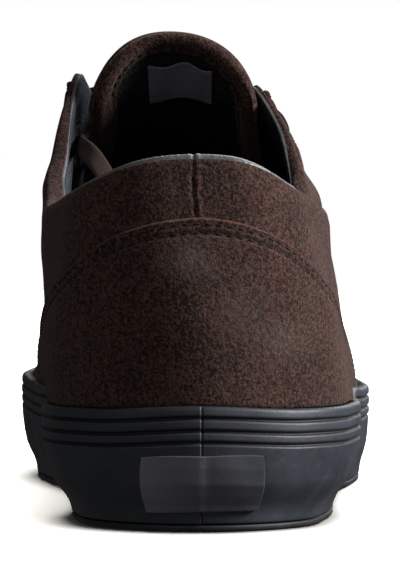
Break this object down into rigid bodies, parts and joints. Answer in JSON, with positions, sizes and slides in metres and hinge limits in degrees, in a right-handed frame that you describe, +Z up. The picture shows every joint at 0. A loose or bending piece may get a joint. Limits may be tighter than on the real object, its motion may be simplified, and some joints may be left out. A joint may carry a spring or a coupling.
{
  "type": "skateboarding shoe",
  "caption": "Low skateboarding shoe for the right foot: suede upper with a padded collar, tall ribbed rubber side wall, padded tongue and flat laces.",
  "frame": {"origin": "middle of the footprint, on the floor", "axes": "+X to the outer side of the foot, +Y to the toe, +Z up"},
  "size_m": [0.1012, 0.2966, 0.122],
  "materials": {
    "suede": "dark brown napped suede",
    "rubber": "matte black rubber",
    "patch": "slate black rubber, blank",
    "lining": "blue black knitted lining",
    "label": "slate grey woven label, blank",
    "eyelet": "dark brown enamel",
    "lace": "flat woven cotton, dark brown"
  },
  "bodies": {
    "root": {"outsole": "rubber", "foxing": "rubber", "heel_patch": "patch", "upper": "suede", "heel_counter": "suede", "eyestay": "suede", "tongue": "suede", "tongue_label": "label", "insole": "lining", "eyelet_outer_1": "eyelet", "eyelet_inner_1": "eyelet", "lace_bar_1": "lace", "eyelet_outer_2": "eyelet", "eyelet_inner_2": "eyelet", "lace_bar_2": "lace", "eyelet_outer_3": "eyelet", "eyelet_inner_3": "eyelet", "lace_bar_3": "lace", "eyelet_outer_4": "eyelet", "eyelet_inner_4": "eyelet", "lace_bar_4": "lace", "eyelet_outer_5": "eyelet", "eyelet_inner_5": "eyelet", "lace_bar_5": "lace", "eyelet_outer_6": "eyelet", "eyelet_inner_6": "eyelet", "lace_bar_6": "lace", "lace_end": "lace"}
  },
  "joints": []
}
